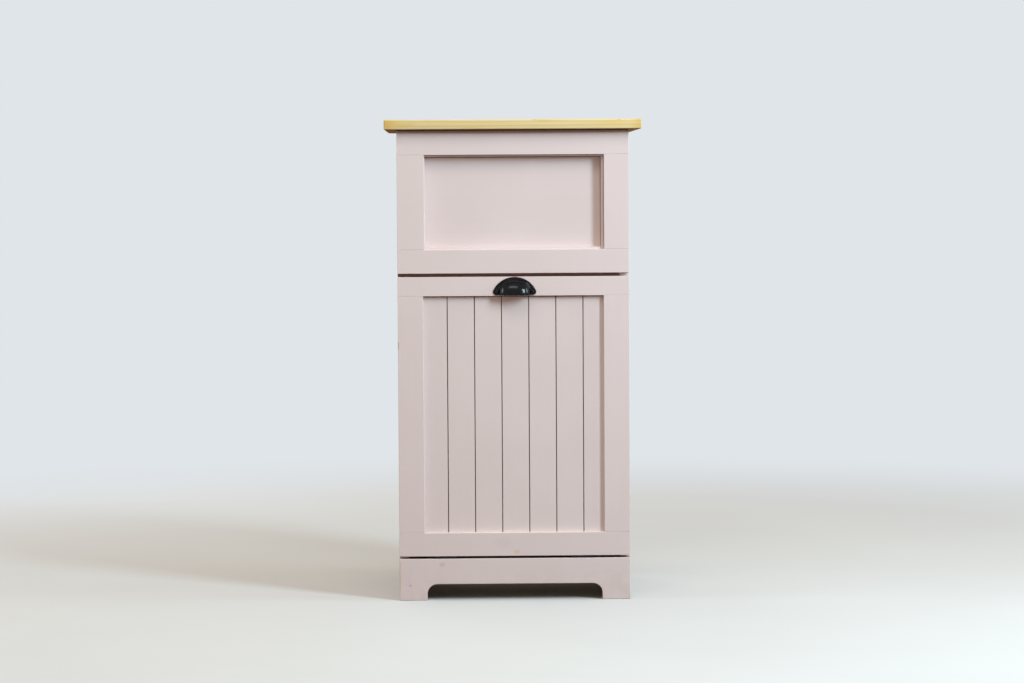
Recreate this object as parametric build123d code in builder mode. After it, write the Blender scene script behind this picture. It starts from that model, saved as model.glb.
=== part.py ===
"""Kitchen waste cabinet: a plank door tilts out at the foot and brings the bin with it.

Millimetres. +Z is up and the front faces -Y. The origin lies on the floor, in the middle
of the cabinet's plan. Every piece is a separate solid with its own file in parts.
"""

import os
from math import acos, atan, atan2, cos, degrees, radians, sin, sqrt

from build123d import *

# Heights of the front, from the floor up
apron_height = 85
apron_gap = 5
door_height = 569
fascia_gap = 7
fascia_height = 291
top_thickness = 20

# Plan of the cabinet
body_width = 470
body_depth = 380
side_overhang = 25
front_overhang = 20

# Boards
side_thickness = 18
shelf_thickness = 18
housing_depth = 4
back_panel_thickness = 5.5
back_rabbet_width = 9
trim_thickness = 9
front_board_thickness = 15
field_thickness = 5.5
board_ease = 0.8
top_ease = 1.6

# Apron with its foot arch, and the strip that backs it
arch_width = 357
arch_height = 33
arch_corner = 20
cleat_size = 18

# Rails across the carcass
header_height = 48
header_drop = 12
header_depth = 18
stretcher_width = 60
stretcher_thickness = 18

# Upper front: trim frame, then the lip that stands a little inside it
fascia_rail_top = 51
fascia_rail_bottom = 48
fascia_stile_left = 55
fascia_stile_right = 50.5
lip_top = 3.5
lip_bottom = 5
lip_left = 1
lip_right = 5.5

# Door: trim frame over tongue-and-groove planks
door_rail_top_height = 39
door_rail_bottom_height = 48
door_stile_width = 51.7
door_clearance = 0.5
plank_pitch = 55.2
plank_shift = 3.2
plank_count = 9
plank_slot = 1.6
plank_chamfer = 0.5
tongue_thickness = 5
tongue_depth_in = 4
tongue_length = 6
tongue_fit = 0.05
tongue_end_gap = 0.5

# Hinges in the gap under the door
hinge_setback = 2.5
hinge_inset = 95
hinge_width = 50
knuckle_count = 3
knuckle_clearance = 0.2
knuckle_end_play = 0.3
pin_diameter = 2.2
pin_fit = 0.05
leaf_length = 17
leaf_thickness = 1.2
hinge_screw_row = 13
hinge_screw_spacing = 28

# Wood screws
screw_diameter = 3
screw_head_diameter = 5.2
screw_length = 16
screw_fit = 0.05
pan_head_diameter = 6.4
pan_head_height = 2
pan_head_bevel = 0.9

# Cup pull
pull_height = 37
pull_below_door_top = 0.4
pull_offset = 2.4
pull_lobe_radius = 7
pull_screw_spacing = 74
pull_flange_thickness = 2.2
pull_edge_bevel = 0.8
cup_width = 61
cup_projection = 24
cup_wall = 2.2

# Magnetic catch under the header
catch_width = 46
catch_height = 14
catch_depth = 15
catch_block_width = 24
catch_ear_height = 3.5
catch_gap = 0.3
catch_bevel = 1
magnet_width = 18
magnet_height = 6
magnet_depth = 8
magnet_fit = 0.1
strike_width = 32
strike_height = 13
strike_below_header = 2.8
strike_thickness = 1.2

# Cradle behind the door
cradle_side_play = 12
cradle_floor_lift = 8.5
cheek_thickness = 12
cheek_swing_clearance = 12
cheek_heel_round = 40
horn_round = 5
cradle_back_gap = 25
cradle_floor_thickness = 9
cradle_back_height = 80
cradle_back_thickness = 12
stop_rail_thickness = 18
stop_rail_height = 45
stop_bite = 32
batten_size = 18
batten_height = 500

# Inner bin
bin_side_play = 8
bin_front_play = 9
bin_rail_play = 1
bin_swing_play = 2
bin_rim_lean = 20
bin_corner = 55
bin_wall = 2.4
bin_rim_overhang = 7
bin_rim_height = 12

# Levels worked out from the heights
door_bottom_z = apron_height + apron_gap
door_top_z = door_bottom_z + door_height
fascia_bottom_z = door_top_z + fascia_gap
fascia_top_z = fascia_bottom_z + fascia_height
overall_height = fascia_top_z + top_thickness
shelf_bottom_z = apron_height - shelf_thickness

# Places across and along, worked out from the plan
front_reach = max(front_overhang, cup_projection)
front_y = front_reach - (body_depth + front_reach) / 2
back_y = front_y + body_depth
carcass_front_y = front_y + trim_thickness + front_board_thickness
back_panel_y = back_y - back_panel_thickness
half_body = body_width / 2
half_inside = half_body - side_thickness
door_back_y = carcass_front_y - door_clearance
plank_front_y = front_y + trim_thickness
header_back_y = carcass_front_y + header_depth
header_bottom_z = fascia_bottom_z - header_drop
header_top_z = header_bottom_z + header_height
stretcher_bottom_z = fascia_top_z - stretcher_thickness

# The tilt axis, and the swing of what hangs on the door
axis_y = front_y + hinge_setback
axis_z = apron_height + apron_gap / 2
cheek_radius = header_bottom_z - axis_z - cheek_swing_clearance
cradle_bottom_z = apron_height + cradle_floor_lift
cradle_back_y = back_panel_y - cradle_back_gap
cradle_floor_z = cradle_bottom_z + cradle_floor_thickness
half_cradle = half_inside - cradle_side_play
half_cradle_inside = half_cradle - cheek_thickness
stop_front_y = cradle_back_y - stop_rail_thickness
stop_contact_y = header_back_y - axis_y
stop_contact_z = header_bottom_z + stop_bite - axis_z
stop_radius = sqrt(stop_contact_y**2 + stop_contact_z**2)
stop_top_z = axis_z + sqrt(stop_radius**2 - (stop_front_y - axis_y) ** 2)
stop_angle = acos(stop_contact_y / stop_radius) - acos((stop_front_y - axis_y) / stop_radius)

os.makedirs("parts", exist_ok=True)


def finish(label, piece):
    """Name a finished piece and write its file."""
    piece.part.label = label
    export_step(piece.part, f"parts/{label}.step")


def board(x_span, y_span, z_span, ease=0):
    """A square-edged board between three pairs of faces, with its edges eased where asked."""
    with BuildPart() as piece:
        with Locations((x_span[0], y_span[0], z_span[0])):
            Box(
                x_span[1] - x_span[0],
                y_span[1] - y_span[0],
                z_span[1] - z_span[0],
                align=(Align.MIN, Align.MIN, Align.MIN),
            )
        if ease:
            chamfer(piece.edges(), ease)
    return piece


def front_board(x_span, z_span, face_y, thickness):
    """A board of the front, with the edges round its face eased as paint rounds them."""
    with BuildPart() as piece:
        with BuildSketch(Plane.XZ.offset(-face_y)):
            with Locations(((x_span[0] + x_span[1]) / 2, (z_span[0] + z_span[1]) / 2)):
                Rectangle(x_span[1] - x_span[0], z_span[1] - z_span[0])
        extrude(amount=-thickness)
        fillet(piece.faces().sort_by(Axis.Y)[0].edges(), board_ease)
    return piece


# Top board
top_board = board(
    (-half_body - side_overhang, half_body + side_overhang),
    (front_y - front_overhang, back_y),
    (fascia_top_z, overall_height),
    top_ease,
)
finish("top_board", top_board)


# Side boards, housed for the shelf and rabbeted for the back panel
def side_board(side):
    """One side board: side is -1 for the left and 1 for the right."""
    inner_x = side * half_inside
    with BuildPart() as piece:
        with BuildSketch(Plane.XY):
            with Locations((side * (half_inside + side_thickness / 2), (carcass_front_y + back_y) / 2)):
                Rectangle(side_thickness, back_y - carcass_front_y)
        extrude(amount=fascia_top_z)
        with Locations((inner_x, back_y, fascia_top_z / 2)):
            Box(2 * back_rabbet_width, 2 * back_panel_thickness, fascia_top_z, mode=Mode.SUBTRACT)
        with Locations((inner_x, (carcass_front_y + back_panel_y) / 2, shelf_bottom_z + shelf_thickness / 2)):
            Box(2 * housing_depth, back_panel_y - carcass_front_y, shelf_thickness, mode=Mode.SUBTRACT)
        outer_edges = piece.faces().sort_by(Axis.X)[-1 if side > 0 else 0].edges()
        fillet(outer_edges.filter_by(Axis.Z), board_ease)
    return piece


finish("side_left", side_board(-1))
finish("side_right", side_board(1))

# Back panel in its rabbets, and the bottom shelf in its housings
back_panel = board(
    (-half_inside - back_rabbet_width, half_inside + back_rabbet_width),
    (back_panel_y, back_y),
    (shelf_bottom_z, fascia_top_z),
)
finish("back_panel", back_panel)

bottom_shelf = board(
    (-half_inside - housing_depth, half_inside + housing_depth),
    (carcass_front_y, back_panel_y),
    (shelf_bottom_z, apron_height),
)
finish("bottom_shelf", bottom_shelf)

# Cross rails between the sides: the header hangs behind the gap over the door, and the stop rail
# of the cradle meets its back
header_rail = board(
    (-half_inside, half_inside),
    (carcass_front_y, header_back_y),
    (header_bottom_z, header_top_z),
)
finish("header_rail", header_rail)

stretcher_front = board(
    (-half_inside, half_inside),
    (carcass_front_y, carcass_front_y + stretcher_width),
    (stretcher_bottom_z, fascia_top_z),
)
finish("stretcher_front", stretcher_front)

stretcher_back = board(
    (-half_inside, half_inside),
    (back_panel_y - stretcher_width, back_panel_y),
    (stretcher_bottom_z, fascia_top_z),
)
finish("stretcher_back", stretcher_back)

apron_cleat = board(
    (-half_inside, half_inside),
    (carcass_front_y, carcass_front_y + cleat_size),
    (shelf_bottom_z - cleat_size, shelf_bottom_z),
)
finish("apron_cleat", apron_cleat)

# Upper front: the trim frame, its rails full width and its stiles between them
fascia_opening_bottom_z = fascia_bottom_z + fascia_rail_bottom
fascia_opening_top_z = fascia_top_z - fascia_rail_top
fascia_opening_left = -half_body + fascia_stile_left
fascia_opening_right = half_body - fascia_stile_right

upper_rail_top = front_board(
    (-half_body, half_body), (fascia_opening_top_z, fascia_top_z), front_y, trim_thickness
)
finish("upper_rail_top", upper_rail_top)

upper_rail_bottom = front_board(
    (-half_body, half_body), (fascia_bottom_z, fascia_opening_bottom_z), front_y, trim_thickness
)
finish("upper_rail_bottom", upper_rail_bottom)

upper_stile_left = front_board(
    (-half_body, fascia_opening_left),
    (fascia_opening_bottom_z, fascia_opening_top_z),
    front_y,
    trim_thickness,
)
finish("upper_stile_left", upper_stile_left)

upper_stile_right = front_board(
    (fascia_opening_right, half_body),
    (fascia_opening_bottom_z, fascia_opening_top_z),
    front_y,
    trim_thickness,
)
finish("upper_stile_right", upper_stile_right)

# Lip frame behind the trim, a few millimetres proud of its opening
lip_opening_bottom_z = fascia_opening_bottom_z + lip_bottom
lip_opening_top_z = fascia_opening_top_z - lip_top
lip_opening_left = fascia_opening_left + lip_left
lip_opening_right = fascia_opening_right - lip_right

lip_rail_top = front_board(
    (-half_body, half_body), (lip_opening_top_z, fascia_top_z), plank_front_y, front_board_thickness
)
finish("lip_rail_top", lip_rail_top)

lip_rail_bottom = front_board(
    (-half_body, half_body), (fascia_bottom_z, lip_opening_bottom_z), plank_front_y, front_board_thickness
)
finish("lip_rail_bottom", lip_rail_bottom)

lip_stile_left = front_board(
    (-half_body, lip_opening_left),
    (lip_opening_bottom_z, lip_opening_top_z),
    plank_front_y,
    front_board_thickness,
)
finish("lip_stile_left", lip_stile_left)

lip_stile_right = front_board(
    (lip_opening_right, half_body),
    (lip_opening_bottom_z, lip_opening_top_z),
    plank_front_y,
    front_board_thickness,
)
finish("lip_stile_right", lip_stile_right)

recessed_panel = board(
    (-half_inside, half_inside),
    (carcass_front_y, carcass_front_y + field_thickness),
    (header_top_z, stretcher_bottom_z),
)
finish("recessed_panel", recessed_panel)

# Screws: countersunk for the hinge leaves, pan head for the pull
screw_radius = screw_diameter / 2
pilot_radius = screw_radius + screw_fit
countersink_radius = screw_head_diameter / 2
screw_head_radius = countersink_radius - screw_fit

with BuildPart() as flat_screw:
    with BuildSketch(Plane.XZ):
        Polygon(
            (0, 0),
            (screw_head_radius, 0),
            (screw_radius, screw_radius - screw_head_radius),
            (screw_radius, -screw_length),
            (0, -screw_length),
            align=None,
        )
    revolve(axis=Axis.Z)

with BuildPart() as pan_screw:
    with BuildSketch(Plane.XZ):
        Polygon(
            (0, pan_head_height),
            (pan_head_diameter / 2 - pan_head_bevel, pan_head_height),
            (pan_head_diameter / 2, pan_head_height - pan_head_bevel),
            (pan_head_diameter / 2, 0),
            (screw_radius, 0),
            (screw_radius, -screw_length),
            (0, -screw_length),
            align=None,
        )
    revolve(axis=Axis.Z)


def screws(screw, places):
    """Copies of one screw, each with its head at a place and its shank down that place's -Z."""
    with BuildPart() as group:
        with Locations(*places):
            add(screw.part)
    return group


def drill_pilots(places):
    """Blind pilot holes in the piece being built, one at each screw's place."""
    with Locations(*places):
        Cylinder(
            pilot_radius,
            screw_length + screw_fit,
            align=(Align.CENTER, Align.CENTER, Align.MAX),
            mode=Mode.SUBTRACT,
        )


# Places of the hinge screws, on the outer face of each leaf
hinge_centres = (hinge_inset - half_body, half_body - hinge_inset)
half_screw_spacing = hinge_screw_spacing / 2
hinge_screw_xs = [centre + side * half_screw_spacing for centre in hinge_centres for side in (-1, 1)]
hinge_screw_y = axis_y + hinge_screw_row
cabinet_hinge_screws = [Location((x, hinge_screw_y, apron_height + leaf_thickness)) for x in hinge_screw_xs]
door_hinge_screws = [
    Location((x, hinge_screw_y, door_bottom_z - leaf_thickness), (180, 0, 0)) for x in hinge_screw_xs
]
finish("hinge_screws_cabinet", screws(flat_screw, cabinet_hinge_screws))
finish("hinge_screws_door", screws(flat_screw, door_hinge_screws))

# Apron with its foot arch
with BuildPart() as apron:
    with BuildSketch(Plane.XZ.offset(-front_y)):
        with Locations((0, apron_height / 2)):
            Rectangle(body_width, apron_height)
        with Locations((0, arch_height - arch_width / 2)):
            RectangleRounded(arch_width, arch_width, arch_corner, mode=Mode.SUBTRACT)
    extrude(amount=front_y - carcass_front_y)
    chamfer(apron.faces().sort_by(Axis.Y)[0].edges(), board_ease)
    drill_pilots(cabinet_hinge_screws)
finish("apron", apron)

# Butt hinges: interleaved knuckles on one pin, the leaves flat on apron and door
knuckle_radius = apron_gap / 2 - knuckle_clearance
knuckle_pitch = hinge_width / knuckle_count
knuckle_length = knuckle_pitch - knuckle_end_play
cabinet_knuckles = range(0, knuckle_count, 2)
door_knuckles = range(1, knuckle_count, 2)


def knuckle_places(centre, numbers):
    """Centres of the numbered knuckles, with Z along the pin."""
    first = centre - hinge_width / 2 + knuckle_pitch / 2
    return [Location((first + n * knuckle_pitch, axis_y, axis_z), (0, 90, 0)) for n in numbers]


def hinge_leaf(centre, facing, own_knuckles, other_knuckles, screw_places):
    """One leaf: facing is 1 for the leaf under the door and -1 for the leaf on the apron."""
    leaf_z = axis_z + facing * (apron_gap - leaf_thickness) / 2
    with BuildPart() as leaf:
        with BuildSketch(Plane.XY.offset(leaf_z - leaf_thickness / 2)):
            with Locations((centre, axis_y + leaf_length / 2)):
                Rectangle(hinge_width - knuckle_end_play, leaf_length)
        extrude(amount=leaf_thickness)
        with Locations(*knuckle_places(centre, other_knuckles)):
            Box(apron_gap, apron_gap, knuckle_pitch, mode=Mode.SUBTRACT)
        with Locations(*knuckle_places(centre, own_knuckles)):
            Cylinder(knuckle_radius, knuckle_length)
        with Locations(Location((centre, axis_y, axis_z), (0, 90, 0))):
            Cylinder(pin_diameter / 2 + pin_fit, hinge_width, mode=Mode.SUBTRACT)
        own_places = [place for place in screw_places if abs(place.position.X - centre) < hinge_width / 2]
        with Locations(*own_places):
            CounterSinkHole(pilot_radius, countersink_radius, leaf_thickness, 90)
    return leaf


def hinge_pin(centre):
    """The pin through all the knuckles of one hinge."""
    with BuildPart() as pin:
        with Locations(Location((centre, axis_y, axis_z), (0, 90, 0))):
            Cylinder(pin_diameter / 2, hinge_width)
    return pin


for hand, centre in zip(("left", "right"), hinge_centres):
    cabinet_leaf = hinge_leaf(centre, -1, cabinet_knuckles, door_knuckles, cabinet_hinge_screws)
    finish(f"hinge_leaf_cabinet_{hand}", cabinet_leaf)
    door_leaf = hinge_leaf(centre, 1, door_knuckles, cabinet_knuckles, door_hinge_screws)
    finish(f"hinge_leaf_door_{hand}", door_leaf)
    finish(f"hinge_pin_{hand}", hinge_pin(centre))

# Cup pull: a half-moon flange with a lobe at each end, and on it a cup that is part of a ball
# whose centre lies behind the door's face
cup_radius = ((cup_width / 2) ** 2 + cup_projection**2) / (2 * cup_projection)
on_foot = (Align.CENTER, Align.CENTER, Align.MIN)
pull_bottom_z = door_top_z - pull_below_door_top - pull_height
pull_centre_z = pull_bottom_z + pull_lobe_radius
half_spacing = pull_screw_spacing / 2
crown_rise = pull_height - pull_lobe_radius
crown_radius = (half_spacing**2 + crown_rise**2 - pull_lobe_radius**2) / (2 * (crown_rise - pull_lobe_radius))
crown_centre_z = pull_height - crown_radius
lobe_angle = atan2(pull_lobe_radius - crown_centre_z, half_spacing)
tangent_x = crown_radius * cos(lobe_angle)
tangent_z = crown_centre_z + crown_radius * sin(lobe_angle)
lobe_middle = (lobe_angle - radians(90)) / 2
lobe_x = half_spacing + pull_lobe_radius * cos(lobe_middle)
lobe_z = pull_lobe_radius + pull_lobe_radius * sin(lobe_middle)
pull_plane = Plane((pull_offset, front_y, pull_bottom_z), x_dir=(1, 0, 0), z_dir=(0, -1, 0))
pull_screw_places = [
    Location((pull_offset + s * half_spacing, front_y - pull_flange_thickness, pull_centre_z), (90, 0, 0))
    for s in (-1, 1)
]

with BuildPart() as cup_pull:
    with BuildSketch(pull_plane):
        with BuildLine():
            crown = ThreePointArc((-tangent_x, tangent_z), (0, pull_height), (tangent_x, tangent_z))
            right_lobe = ThreePointArc(crown @ 1, (lobe_x, lobe_z), (half_spacing, 0))
            foot = Line(right_lobe @ 1, (-half_spacing, 0))
            ThreePointArc(foot @ 1, (-lobe_x, lobe_z), crown @ 0)
        make_face()
    extrude(amount=pull_flange_thickness)
    chamfer(cup_pull.faces().sort_by(Axis.Y)[0].edges(), pull_edge_bevel)
    with Locations((pull_offset, front_y + cup_radius - cup_projection, pull_bottom_z)):
        Sphere(cup_radius, arc_size1=0, align=on_foot)
        Sphere(cup_radius - cup_wall, arc_size1=0, align=on_foot, mode=Mode.SUBTRACT)
    split(bisect_by=pull_plane)
    with Locations(*pull_screw_places):
        Hole(pilot_radius, pull_flange_thickness)
finish("cup_pull", cup_pull)
finish("pull_screws", screws(pan_screw, pull_screw_places))

# Magnetic catch under the header, and its strike plate on the door
catch_front_y = door_back_y + strike_thickness + catch_gap
catch_centre_y = catch_front_y + catch_depth / 2
magnet_centre = (
    0,
    catch_front_y + magnet_depth / 2,
    header_bottom_z - (catch_height + catch_ear_height) / 2,
)

with BuildPart() as catch_body:
    with Locations((0, catch_centre_y, header_bottom_z)):
        Box(catch_width, catch_depth, catch_ear_height, align=(Align.CENTER, Align.CENTER, Align.MAX))
        Box(catch_block_width, catch_depth, catch_height, align=(Align.CENTER, Align.CENTER, Align.MAX))
    chamfer(catch_body.edges().filter_by(Axis.Z), catch_bevel)
    with Locations(magnet_centre):
        Box(
            magnet_width + 2 * magnet_fit,
            magnet_depth + 2 * magnet_fit,
            magnet_height + 2 * magnet_fit,
            mode=Mode.SUBTRACT,
        )
finish("catch_body", catch_body)

with BuildPart() as catch_magnet:
    with Locations(magnet_centre):
        Box(magnet_width, magnet_depth, magnet_height)
finish("catch_magnet", catch_magnet)

with BuildPart() as strike_plate:
    with BuildSketch(Plane.XZ.offset(-door_back_y)):
        with Locations((0, header_bottom_z - strike_below_header - strike_height / 2)):
            Rectangle(strike_width, strike_height)
    extrude(amount=-strike_thickness)
    chamfer(strike_plate.edges().filter_by(Axis.Y), catch_bevel)
finish("strike_plate", strike_plate)

# Door planks
door_pilots = door_hinge_screws + pull_screw_places


def plank(left_seam, right_seam, grooved, tongued):
    """A plank between two seams, with a groove on its left and a tongue on its right."""
    face_y = plank_front_y
    back = door_back_y
    tongue_front = face_y + tongue_depth_in
    tongue_back = tongue_front + tongue_thickness
    half_slot = plank_slot / 2
    with BuildPart() as piece:
        with BuildSketch(Plane.XY.offset(door_bottom_z)):
            with BuildLine():
                if tongued:
                    shoulder = right_seam - half_slot
                    tip = right_seam + half_slot + tongue_length
                    right_side = [
                        (shoulder - plank_chamfer, face_y),
                        (shoulder, face_y + plank_chamfer),
                        (shoulder, tongue_front),
                        (tip, tongue_front),
                        (tip, tongue_back),
                        (right_seam - tongue_fit, tongue_back),
                        (right_seam - tongue_fit, back),
                    ]
                else:
                    right_side = [(right_seam, face_y), (right_seam, back)]
                if grooved:
                    lip = left_seam + half_slot
                    groove_end = lip + tongue_length + tongue_end_gap
                    left_side = [
                        (left_seam + tongue_fit, back),
                        (left_seam + tongue_fit, tongue_back + tongue_fit),
                        (groove_end, tongue_back + tongue_fit),
                        (groove_end, tongue_front - tongue_fit),
                        (lip, tongue_front - tongue_fit),
                        (lip, face_y + plank_chamfer),
                        (lip + plank_chamfer, face_y),
                    ]
                else:
                    left_side = [(left_seam, back), (left_seam, face_y)]
                Polyline(*right_side, *left_side, close=True)
            make_face()
        extrude(amount=door_height)
        drill_pilots(door_pilots)
    return piece


first_seam = plank_shift - plank_pitch * (plank_count - 2) / 2
for number in range(1, plank_count + 1):
    first = number == 1
    last = number == plank_count
    left_seam = -half_body if first else first_seam + (number - 2) * plank_pitch
    right_seam = half_body if last else first_seam + (number - 1) * plank_pitch
    finish(f"door_plank_{number}", plank(left_seam, right_seam, not first, not last))

# Door trim: rails full width, stiles between them
door_opening_bottom_z = door_bottom_z + door_rail_bottom_height
door_opening_top_z = door_top_z - door_rail_top_height

with BuildPart() as door_rail_top:
    with BuildSketch(Plane.XZ.offset(-front_y)):
        with Locations((0, (door_opening_top_z + door_top_z) / 2)):
            Rectangle(body_width, door_rail_top_height)
    extrude(amount=-trim_thickness)
    fillet(door_rail_top.faces().sort_by(Axis.Y)[0].edges(), board_ease)
    drill_pilots(pull_screw_places)
finish("door_rail_top", door_rail_top)

door_rail_bottom = front_board(
    (-half_body, half_body), (door_bottom_z, door_opening_bottom_z), front_y, trim_thickness
)
finish("door_rail_bottom", door_rail_bottom)

door_stile_left = front_board(
    (-half_body, door_stile_width - half_body),
    (door_opening_bottom_z, door_opening_top_z),
    front_y,
    trim_thickness,
)
finish("door_stile_left", door_stile_left)

door_stile_right = front_board(
    (half_body - door_stile_width, half_body),
    (door_opening_bottom_z, door_opening_top_z),
    front_y,
    trim_thickness,
)
finish("door_stile_right", door_stile_right)


# Cradle: cheeks cut to the swing, with horns that carry the stop rail
def swing_point(radius, y):
    """The point on a circle about the tilt axis, above the axis, at one place in depth."""
    return (y, axis_z + sqrt(radius**2 - (y - axis_y) ** 2))


def cheek(inner_x):
    """One cheek, from its left face."""
    door_end = swing_point(cheek_radius, door_back_y)
    horn_end = swing_point(cheek_radius, stop_front_y)
    middle = swing_point(cheek_radius, (door_back_y + stop_front_y) / 2)
    with BuildPart() as piece:
        with BuildSketch(Plane.YZ.offset(inner_x)):
            with BuildLine():
                swing = ThreePointArc(door_end, middle, horn_end)
                Polyline(
                    swing @ 1,
                    (stop_front_y, stop_top_z),
                    (cradle_back_y, stop_top_z),
                    (cradle_back_y, cradle_bottom_z),
                    (door_back_y, cradle_bottom_z),
                    swing @ 0,
                )
            make_face()
        extrude(amount=cheek_thickness)
        cross_edges = piece.edges().filter_by(Axis.X)
        heel = cross_edges.group_by(Axis.Y)[-1].sort_by(Axis.Z)[0]
        fillet(heel, cheek_heel_round)
        horn_tops = piece.edges().filter_by(Axis.X).group_by(Axis.Z)[-1]
        fillet(horn_tops.sort_by(Axis.Y)[0], horn_round)
    return piece


finish("cradle_cheek_left", cheek(-half_cradle))
finish("cradle_cheek_right", cheek(half_cradle_inside))

floor_back_y = cradle_back_y - cheek_heel_round
cradle_floor = board(
    (-half_cradle_inside, half_cradle_inside),
    (door_back_y, floor_back_y),
    (cradle_bottom_z, cradle_floor_z),
)
finish("cradle_floor", cradle_floor)

cradle_back_rail = board(
    (-half_cradle_inside, half_cradle_inside),
    (floor_back_y - cradle_back_thickness, floor_back_y),
    (cradle_floor_z, cradle_floor_z + cradle_back_height),
)
finish("cradle_back_rail", cradle_back_rail)

stop_rail = board(
    (-half_cradle_inside, half_cradle_inside),
    (stop_front_y, cradle_back_y),
    (stop_top_z - stop_rail_height, stop_top_z),
)
finish("stop_rail", stop_rail)

for hand, outer_x in (("left", -half_cradle_inside), ("right", half_cradle_inside - batten_size)):
    batten = board(
        (outer_x, outer_x + batten_size),
        (door_back_y, door_back_y + batten_size),
        (cradle_floor_z, cradle_floor_z + batten_height),
    )
    finish(f"cradle_batten_{hand}", batten)

# Inner bin: a tapered pail with a turned-out rim, as high as its swing under the header allows
bin_rail_y = floor_back_y - cradle_back_thickness
bin_rim_front_y = door_back_y + bin_front_play
bin_rim_back_y = bin_rail_y + bin_rim_lean
bin_centre_y = (bin_rim_front_y + bin_rim_back_y) / 2
bin_top_z = swing_point(cheek_radius - bin_swing_play, bin_rim_back_y)[1]
bin_height = bin_top_z - cradle_floor_z
bin_draft = (bin_rim_lean - bin_rim_overhang + bin_rail_play) / (bin_height - cradle_back_height)
bin_mouth_width = 2 * (half_cradle_inside - bin_side_play - bin_rim_overhang)
bin_mouth_depth = bin_rim_back_y - bin_rim_front_y - 2 * bin_rim_overhang
bin_rim_z = bin_top_z - bin_rim_height


def bin_body(inset):
    """The tapered form of the pail, drawn in by an inset and stood up by it from the floor."""
    with BuildPart() as form:
        with BuildSketch(Plane((0, bin_centre_y, bin_top_z), z_dir=(0, 0, -1))):
            RectangleRounded(bin_mouth_width - 2 * inset, bin_mouth_depth - 2 * inset, bin_corner - inset)
        extrude(amount=bin_height - inset, taper=degrees(atan(bin_draft)))
    return form.part


with BuildPart() as inner_bin:
    add(bin_body(0))
    with BuildSketch(Plane((0, bin_centre_y, bin_rim_z))):
        RectangleRounded(
            bin_mouth_width + 2 * bin_rim_overhang,
            bin_mouth_depth + 2 * bin_rim_overhang,
            bin_corner + bin_rim_overhang,
        )
    extrude(amount=bin_rim_height)
    with BuildSketch(Plane((0, bin_centre_y, bin_rim_z))):
        RectangleRounded(
            bin_mouth_width + 2 * (bin_rim_overhang - bin_wall),
            bin_mouth_depth + 2 * (bin_rim_overhang - bin_wall),
            bin_corner + bin_rim_overhang - bin_wall,
        )
        RectangleRounded(bin_mouth_width, bin_mouth_depth, bin_corner, mode=Mode.SUBTRACT)
    extrude(amount=bin_rim_height - bin_wall, mode=Mode.SUBTRACT)
    add(bin_body(bin_wall), mode=Mode.SUBTRACT)
finish("inner_bin", inner_bin)

print(f"overall {body_width + 2 * side_overhang} x {body_depth + front_reach} x {overall_height}")
print(f"tilt axis at y {axis_y:.2f}, z {axis_z:.2f}, stop at {degrees(stop_angle):.2f} degrees")
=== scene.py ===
"""Finishes and fine pieces of the tilt-out kitchen waste cabinet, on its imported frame.

Metres. +Z is up and the front faces -Y. Every finished piece sits at the origin.
"""

import logging
import math
from abc import ABC, abstractmethod
from dataclasses import dataclass, field
from enum import Enum
from typing import Any, ClassVar

import bmesh
import bpy
from bmesh.types import BMEdge, BMesh, BMVert
from bpy.types import ID, Material, Mesh, Node, NodeSocket, NodeTree, Object
from mathutils import Euler, Matrix, Vector


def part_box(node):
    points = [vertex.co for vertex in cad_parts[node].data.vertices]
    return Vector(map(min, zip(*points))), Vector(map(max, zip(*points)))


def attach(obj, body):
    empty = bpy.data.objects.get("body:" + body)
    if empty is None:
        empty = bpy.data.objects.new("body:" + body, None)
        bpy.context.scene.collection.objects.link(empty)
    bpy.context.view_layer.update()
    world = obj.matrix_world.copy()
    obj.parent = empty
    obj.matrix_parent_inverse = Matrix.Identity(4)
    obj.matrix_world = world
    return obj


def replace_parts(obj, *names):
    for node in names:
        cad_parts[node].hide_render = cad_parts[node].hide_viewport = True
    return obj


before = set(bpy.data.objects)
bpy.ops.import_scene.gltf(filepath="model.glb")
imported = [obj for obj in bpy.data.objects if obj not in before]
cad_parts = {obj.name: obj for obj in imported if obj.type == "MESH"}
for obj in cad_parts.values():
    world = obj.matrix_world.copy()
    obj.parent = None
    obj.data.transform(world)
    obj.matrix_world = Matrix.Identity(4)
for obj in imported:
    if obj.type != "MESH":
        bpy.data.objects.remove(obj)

log = logging.getLogger("cabinet")
Pair = tuple[float, float]
Triple = tuple[float, float, float]
Rgba = tuple[float, float, float, float]
Settings = dict[str, Any] | None

ORIGIN: Triple = (0.0, 0.0, 0.0)
HANDS = ("left", "right")
SIDES = (-1, 1)
MERGE = 1e-6
SHARP = math.radians(38)
TRIM_FACE = -0.178
MARK_DEPTH = 0.004
LINE_RAG = 0.3
LINE_WIDE = 0.4


def shade(red: int, green: int, blue: int) -> Rgba:
    """Turn a colour on the 0 to 255 scale into the light values that a shader takes.

    Args:
        red: The red step.
        green: The green step.
        blue: The blue step.

    Returns:
        The colour with full opacity.
    """
    steps = [step / 255 for step in (red, green, blue)]
    light = [s / 12.92 if s <= 0.04045 else ((s + 0.055) / 1.055) ** 2.4 for s in steps]
    return (light[0], light[1], light[2], 1.0)


class Run(Enum):
    """The way that a board's grain and its brush strokes run."""

    ACROSS = (0.0, 0.0, 0.0)
    UP = (0.0, math.pi / 2, 0.0)


class Side(Enum):
    """A side of a painted board that was left bare, as an axis and a direction."""

    BACK = (1, 1.0)
    LEFT = (0, -1.0)
    RIGHT = (0, 1.0)


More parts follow.
